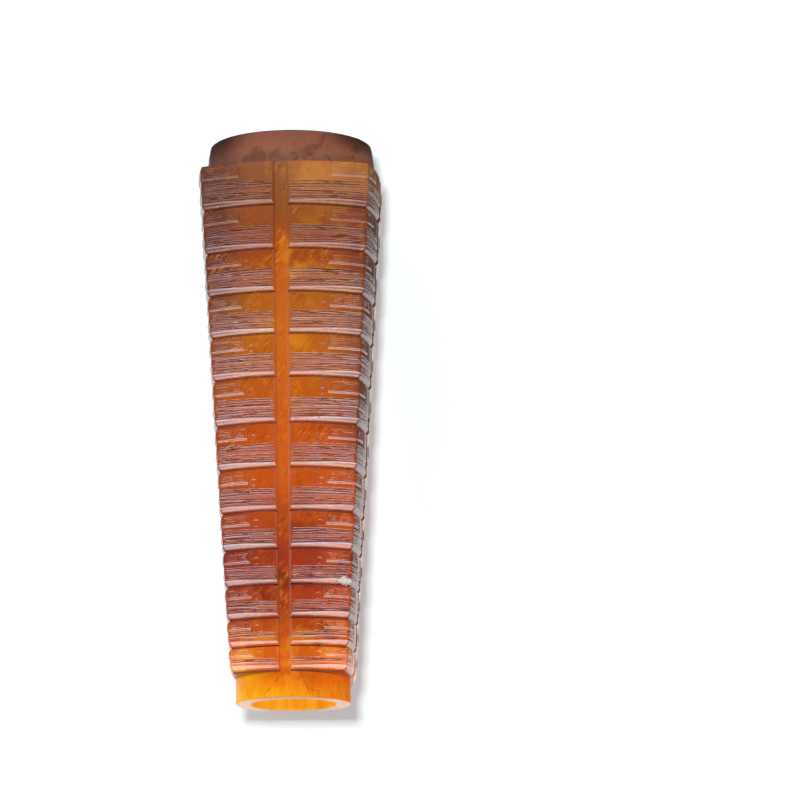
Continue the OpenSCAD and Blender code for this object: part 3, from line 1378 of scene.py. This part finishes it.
        read[Read.FROM_MIDDLE] = add(tree, "Math", links={0: x}, operation="ABSOLUTE").outputs[0]
        shifted = add(tree, "Math", {1: self.channel_off}, {0: x}, operation="ADD").outputs[0]
        read[Read.FROM_CHANNEL] = add(tree, "Math", links={0: shifted}, operation="ABSOLUTE").outputs[0]
        flat = add(tree, "CombineXYZ", links={0: x, 1: y}).outputs[0]
        from_axis = add(tree, "VectorMath", links={0: flat}, operation="LENGTH").outputs["Value"]
        read[Read.FROM_AXIS] = from_axis
        widening = {1: self.half_rise, 2: self.half_low}
        half = add(tree, "Math", widening, {0: z}, operation="MULTIPLY_ADD").outputs[0]
        read[Read.OUTWARDS] = add(tree, "Math", links={0: x, 1: half}, operation="DIVIDE").outputs[0]
        share = add(tree, "Math", links={0: from_axis, 1: half}, operation="DIVIDE").outputs[0]
        hazed = {0: read[Read.HAZE]}
        hazy = add(tree, "Math", {1: 0.25, 2: -0.125}, hazed, operation="MULTIPLY_ADD").outputs[0]
        read[Read.REACH] = add(tree, "Math", links={0: share, 1: hazy}, operation="ADD").outputs[0]
        drifting = {0: read[Read.DRIFT]}
        moved = add(tree, "Math", {1: 0.06, 2: -0.03}, drifting, operation="MULTIPLY_ADD").outputs[0]
        whole = {0: z, 2: moved}
        read[Read.LEVEL] = add(tree, "Math", {1: 1 / self.height}, whole, operation="MULTIPLY_ADD").outputs[0]
        return read

    def make(self) -> bpy.types.Material:
        """Builds the stone's nodes.

        Returns:
            The material.
        """
        material = bpy.data.materials.new(self.name)
        material.use_nodes = True
        tree = material.node_tree
        tree.nodes.clear()
        place = add(tree, "TexCoord").outputs["Object"]
        brush = Brush(tree, self.readings(tree, place))
        read = brush.read

        middle = brush.strength(Window(Read.HEIGHT, 0.09, 0.14), Window(Read.HEIGHT, 0.24, 0.2))
        flecked = add(tree, "Math", {1: 0.24, 2: 0.44}, {0: middle}, operation="MULTIPLY_ADD").outputs[0]
        in_channel = {0: read[Read.CHANNEL], 2: flecked}
        read[Read.FLECKED] = add(tree, "Math", {1: 0.35}, in_channel, operation="MULTIPLY_ADD").outputs[0]
        # Painted highlight colour of the raised lines, peach in a channel and warmer near the foot
        line = add(tree, "ValToRGB", links={0: read[Read.CHANNEL]}, stops=self.line_highlight_stops).outputs[0]
        near_foot = Layer("e8a07c", (Window(Read.HEIGHT, 0.055, 0.025),))
        read[Read.LINE_HIGHLIGHT] = brush.lay(line, (near_foot,))
        # The bore's honey colour, brightened as painted glow
        honey = add(tree, "ValToRGB", links={0: read[Read.HONEY]}, stops=self.honey_glow_stops)
        read[Read.HONEY_GLOW_COLOUR] = honey.outputs[0]

        # Ground colour by height, brighter and yellower towards the foot partly as painted glow
        colour = add(tree, "ValToRGB", links={0: read[Read.LEVEL]}, stops=self.stops).outputs[0]
        colour = brush.lay(colour, self.layers)
        flat = add(tree, "VectorMath", {1: (1, 0, 1)}, {0: place}, operation="MULTIPLY").outputs[0]
        front = brush.strength(Window(Read.BACK, -0.008, -0.012), Window(Read.GAPS, 0.42, 0.55))
        for crack in self.fissures:
            shown = {0: crack.mask(tree, flat), 1: front}
            shown = {0: add(tree, "Math", links=shown, operation="MULTIPLY").outputs[0], 6: colour}
            colour = add(tree, "Mix", {7: srgb(crack.colour)}, shown, data_type="RGBA").outputs[2]
        colour = brush.lay(colour, self.last_layers)

        polish = brush.strength(Window(Read.SCUFFS, 0.35, 0.7, self.roughness - 0.04, self.roughness + 0.1))
        satin = brush.strength(Window(Read.HEIGHT, 0.012, 0.014, 0.12, 0))
        dull = add(tree, "Math", links={0: polish, 1: satin}, operation="ADD").outputs[0]
        scuffed = add(tree, "Bump", {"Strength": 0.08, "Distance": 0.0002}, {"Height": read[Read.SCUFFS]})
        # Painted glow: the thin wall of the foot and the lower bore emit their own colour, for the light that
        # passes through them
        within = brush.strength(IN_BORE, Window(Read.HEIGHT, 0.06, 0.005, 0, 0.45))
        at_sides = Window(Read.FROM_MIDDLE, 0.008, 0.025, 1, 4.4)
        edge = brush.strength(Window(Read.HEIGHT, 0.03, 0.008, 0, 0.09), at_sides)
        glow = add(tree, "Math", links={0: within, 1: edge}, operation="MAXIMUM").outputs[0]
        low_sheen = brush.strength(Window(Read.HEIGHT, 0.012, 0.014, 0.15, 0.5))
        high_sheen = brush.strength(Window(Read.HEIGHT, 0.16, 0.235, 0.5, 0.25))
        sheen = add(tree, "Math", links={0: low_sheen, 1: high_sheen}, operation="MINIMUM").outputs[0]
        under = brush.strength(UNDERSIDE)
        sheen = add(tree, "Math", links={0: sheen, 1: under}, operation="MAXIMUM").outputs[0]
        settings = {
            "IOR": self.refraction,
            "Subsurface Weight": 0.3,
            "Subsurface Radius": (1.0, 0.38, 0.12),
            "Subsurface Scale": self.depth * MM,
        }
        links = {
            "Base Color": colour,
            "Roughness": dull,
            "Specular IOR Level": sheen,
            "Normal": scuffed.outputs[0],
            "Emission Color": colour,
            "Emission Strength": glow,
        }
        shader = add(tree, "BsdfPrincipled", settings, links)
        add(tree, "OutputMaterial", links={0: shader.outputs[0]})
        return material


@dataclass(frozen=True)
class LimeFinish:
    """Burial lime: a chalky white crust of fine grains, quite matt, with warm grey pits."""

    name: str = "granular_lime_crust"
    roughness: float = 0.92
    grain_size: float = 0.5
    stops: tuple[tuple[float, str], ...] = ((0.3, "c4bcb0"), (0.5, "e6e0d6"), (0.7, "f4f0ea"))

    def make(self) -> bpy.types.Material:
        """Builds the crust's nodes.

        Returns:
            The material.
        """
        material = bpy.data.materials.new(self.name)
        material.use_nodes = True
        tree = material.node_tree
        tree.nodes.clear()
        place = add(tree, "TexCoord").outputs["Object"]
        settings = {"Scale": 1 / (self.grain_size * MM), "Detail": 4.0}
        grain = add(tree, "TexNoise", settings, {"Vector": place}).outputs[0]
        colour = add(tree, "ValToRGB", links={0: grain}, stops=self.stops).outputs[0]
        bump = add(tree, "Bump", {"Strength": 0.5, "Distance": 0.0002}, {"Height": grain}).outputs[0]
        looks = {"Base Color": colour, "Normal": bump}
        shader = add(tree, "BsdfPrincipled", {"Roughness": self.roughness}, looks)
        add(tree, "OutputMaterial", links={0: shader.outputs[0]})
        return material


# Studio


@dataclass(frozen=True)
class Lamp:
    """A soft lamp, seen from the tube.

    Attributes:
        name: Its name.
        azimuth: How far it stands to the right of the front face's normal, in degrees.
        elevation: How far up it stands, in degrees.
        distance: Its distance in metres.
        width: Its width.
        height: Its height.
        power: Its power in watts.
        mirrored: Whether the polish mirrors it.
        lights: Whether it lights the stone, beyond being mirrored.
    """

    name: str
    azimuth: float
    elevation: float
    distance: float
    width: float
    height: float
    power: float
    mirrored: bool = True
    lights: bool = True


@dataclass
class Studio:
    """Plain white studio and the camera at the photograph's angle, in metres and degrees.

    Attributes:
        target_h: Height of the point that the lamps are aimed at.
        camera_distance: Level distance from the tube's axis to the camera.
        camera_height: Height of the camera, below the foot because the tube is seen from its narrow end.
        azimuth: How far the camera stands to the right of the front face's normal.
        pan: How far the camera looks to the right of the tube's axis.
        pitch: How far it looks up.
        roll: How far it is rolled, as the tube leans a little in its picture.
        focal_px: Focal length in pixels of the 800 pixel picture.
        floor_side: Side of the floor.
        backdrop_side: Side of the backdrop, which stays small so that other views pass it.
        backdrop_h: Height of its centre.
        backdrop_gap: How far that stands behind the tube's axis.
        backdrop_lean: How far it leans.
        room_light: Strength of the even light.
        dark_room: Strength of what the polish mirrors from the front.
        lamps: The lamps.
    """

    target_h: float = 0.14
    camera_distance: float = 2.247
    camera_height: float = -0.297
    azimuth: float = 4.4
    pan: float = 1.34
    pitch: float = 11.22
    roll: float = -0.52
    focal_px: float = 4698.0
    floor_side: float = 4.0
    backdrop_side: float = 0.68
    backdrop_h: float = 0.262
    backdrop_gap: float = 0.047
    backdrop_lean: float = 3.4
    room_light: float = 0.22
    dark_room: float = 0.08
    lamps: tuple[Lamp, ...] = (
        Lamp("key", -38.0, 46.0, 1.3, 1.0, 1.0, 3.4, mirrored=False),
        Lamp("low_card", 4.0, -38.0, 1.2, 1.5, 0.45, 12.0, lights=False),
        Lamp("front", 0.5, -3.5, 1.9, 0.15, 0.15, 24.0, mirrored=False),
        Lamp("right_fill", 140.0, 26.0, 1.3, 0.5, 0.5, 5.0, mirrored=False),
        Lamp("left_fill", -145.0, 26.0, 1.3, 0.5, 0.5, 5.0, mirrored=False),
    )

    def sheet_material(self, name: str, shade: str, lift: float) -> bpy.types.Material:
        """Matt white paper that only the camera sees, and only from its own side, so that it blocks no light.

        Args:
            name: The material's name.
            shade: Its diffuse colour.
            lift: Light added to it, so that it is white where no shadow falls.

        Returns:
            The material.
        """
        material = bpy.data.materials.new(name)
        material.use_nodes = True
        tree = material.node_tree
        tree.nodes.clear()
        paper = add(tree, "BsdfDiffuse", {"Color": srgb(shade)}).outputs[0]
        light = add(tree, "Emission", {"Color": (1, 1, 1, 1), "Strength": lift}).outputs[0]
        lit = add(tree, "AddShader", links={0: paper, 1: light}).outputs[0]
        clear = add(tree, "BsdfTransparent").outputs[0]
        seen = add(tree, "LightPath").outputs["Is Camera Ray"]
        behind = add(tree, "NewGeometry").outputs["Backfacing"]
        shown = add(tree, "Math", links={0: seen, 1: behind}, operation="SUBTRACT", use_clamp=True).outputs[0]
        mixed = add(tree, "MixShader", links={0: shown, 1: clear, 2: lit}).outputs[0]
        add(tree, "OutputMaterial", links={0: mixed})
        return material

    def sheets(self) -> None:
        """Lays the floor under the foot, and stands the backdrop where the photograph's shadow falls."""
        deselect()
        bpy.ops.mesh.primitive_plane_add(size=self.floor_side, location=(0, 0, 0))
        floor = bpy.context.object
        floor.name = "floor"
        floor.data.materials.append(self.sheet_material("white_paper_floor", "f4f4f4", 0.62))
        turn = Matrix.Rotation(math.radians(self.azimuth), 4, "Z")
        lean = Matrix.Rotation(math.radians(90 + self.backdrop_lean), 4, "X")
        deselect()
        bpy.ops.mesh.primitive_plane_add(size=self.backdrop_side)
        backdrop = bpy.context.object
        backdrop.name = "backdrop"
        backdrop.matrix_world = turn @ Matrix.Translation((0, self.backdrop_gap, self.backdrop_h)) @ lean
        backdrop.data.materials.append(self.sheet_material("white_paper_backdrop", "e8f3f6", 0.3))

    def light(self) -> None:
        """Hangs the lamps."""
        for lamp in self.lamps:
            azimuth, elevation = math.radians(lamp.azimuth), math.radians(lamp.elevation)
            level = math.cos(elevation)
            away = Vector((math.sin(azimuth) * level, -math.cos(azimuth) * level, math.sin(elevation)))
            deselect()
            stand = Vector((0, 0, self.target_h)) + away * lamp.distance
            bpy.ops.object.light_add(type="AREA", location=stand)
            made = bpy.context.object
            made.name = made.data.name = lamp.name
            made.rotation_euler = away.to_track_quat("Z", "Y").to_euler()
            made.data.shape = "RECTANGLE"
            made.data.size = lamp.width
            made.data.size_y = lamp.height
            made.data.energy = lamp.power
            made.visible_glossy = lamp.mirrored
            made.visible_diffuse = lamp.lights

    def room(self) -> None:
        """Fills the room with even light. The polish mirrors it white behind and below, and dark in front."""
        world = bpy.data.worlds.new("white_room")
        bpy.context.scene.world = world
        world.use_nodes = True
        tree = world.node_tree
        tree.nodes.clear()
        x, y, z = add(tree, "SeparateXYZ", links={0: add(tree, "TexCoord").outputs["Generated"]}).outputs
        leftwards = add(tree, "Math", {1: -0.1}, {0: x}, operation="MULTIPLY").outputs[0]
        aside = add(tree, "Math", links={0: x, 1: leftwards}, operation="MAXIMUM").outputs[0]
        aside = add(tree, "Math", {1: 1.5}, {0: z, 2: aside}, operation="MULTIPLY_ADD").outputs[0]
        # In the world these readings are of the direction that is looked in
        brush = Brush(tree, {Read.FROM_MIDDLE: aside, Read.BACK: y, Read.HEIGHT: z})
        behind = brush.strength(Window(Read.FROM_MIDDLE, 0.49, 0.36), Window(Read.BACK, 0.2, 0.5))
        below = brush.strength(Window(Read.HEIGHT, 0, -0.3, 0, 0.5))
        paper = add(tree, "Math", links={0: behind, 1: below}, operation="MAXIMUM").outputs[0]
        shades = {3: self.dark_room, 4: 1.0}
        shown = add(tree, "MapRange", shades, {0: paper}, interpolation_type="SMOOTHSTEP").outputs[0]
        room = add(tree, "Background", {"Color": (1, 1, 1, 1), "Strength": self.room_light}).outputs[0]
        white = add(tree, "Background", {"Color": (1, 1, 1, 1), "Strength": 1.0}).outputs[0]
        mirrored = add(tree, "Background", {"Color": (1, 1, 1, 1)}, {"Strength": shown}).outputs[0]
        path = add(tree, "LightPath").outputs
        mixed = add(tree, "MixShader", links={0: path["Is Glossy Ray"], 1: room, 2: mirrored}).outputs[0]
        mixed = add(tree, "MixShader", links={0: path["Is Camera Ray"], 1: mixed, 2: white}).outputs[0]
        add(tree, "OutputWorld", links={0: mixed})

    def camera(self) -> None:
        """Sets the camera at the photograph's viewing angle."""
        azimuth, pitch = math.radians(self.azimuth), math.radians(self.pitch)
        heading = math.radians(self.pan - self.azimuth)
        level = math.cos(pitch)
        ahead = Vector((math.sin(heading) * level, math.cos(heading) * level, math.sin(pitch)))
        stand = (
            self.camera_distance * math.sin(azimuth),
            -self.camera_distance * math.cos(azimuth),
            self.camera_height,
        )
        deselect()
        bpy.ops.object.camera_add(location=stand)
        camera = bpy.context.object
        camera.name = "photo_camera"
        roll = Matrix.Rotation(math.radians(self.roll), 4, "Z")
        camera.rotation_euler = (ahead.to_track_quat("-Z", "Y").to_matrix().to_4x4() @ roll).to_euler()
        camera.data.sensor_width = 36.0
        camera.data.lens = camera.data.sensor_width * self.focal_px / PHOTO_SIDE
        camera.data.clip_start = 0.05
        camera.data.clip_end = 20.0
        bpy.context.scene.camera = camera


def dress(piece: bpy.types.Object, material: bpy.types.Material, node: str) -> None:
    """Gives a piece its finish and ties it to the part.

    Args:
        piece: The finished piece.
        material: Its material.
        node: The node that it stands for.
    """
    piece.data.materials.clear()
    piece.data.materials.append(material)
    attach(piece, "root")
    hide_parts(node)
    LOG.info("%s: %d faces", piece.name, len(piece.data.polygons))


def main() -> None:
    """Builds the cong, its lime patch and the studio."""
    logging.basicConfig(level=logging.INFO, format="%(message)s")
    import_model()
    low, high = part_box("cong_body")
    sizes = CongSizes(total_h=(high.z - low.z) / MM)
    studio = Studio()
    studio.camera()

    jade = JadeFinish().make()
    bore, chamfer = sizes.bore_d, sizes.rim_chamfer
    low_end, high_end = (0.0, sizes.lower_collar_h), (sizes.body_top - COLLAR_SUNK, sizes.total_h)
    lower = Collar("lower_collar", sizes.lower_collar_d, bore, *low_end, chamfer, False)
    upper = Collar("upper_collar", sizes.upper_collar_d, bore, *high_end, chamfer, True, RIM_DRAW_IN)
    for collar in (lower, upper):
        dress(collar.build(), jade, "cong_body")
    for index in range(sizes.tiers):
        tier = CarvedTier(sizes, index)
        dress(tier.build(f"carved_tier_{index + 1:02d}"), jade, "cong_body")
    dress(LimePatch(sizes).build("lime_crust"), LimeFinish().make(), "lime_deposit")

    studio.sheets()
    studio.light()
    studio.room()
    bpy.context.scene.view_settings.view_transform = "Standard"


if __name__ == "__main__":
    main()
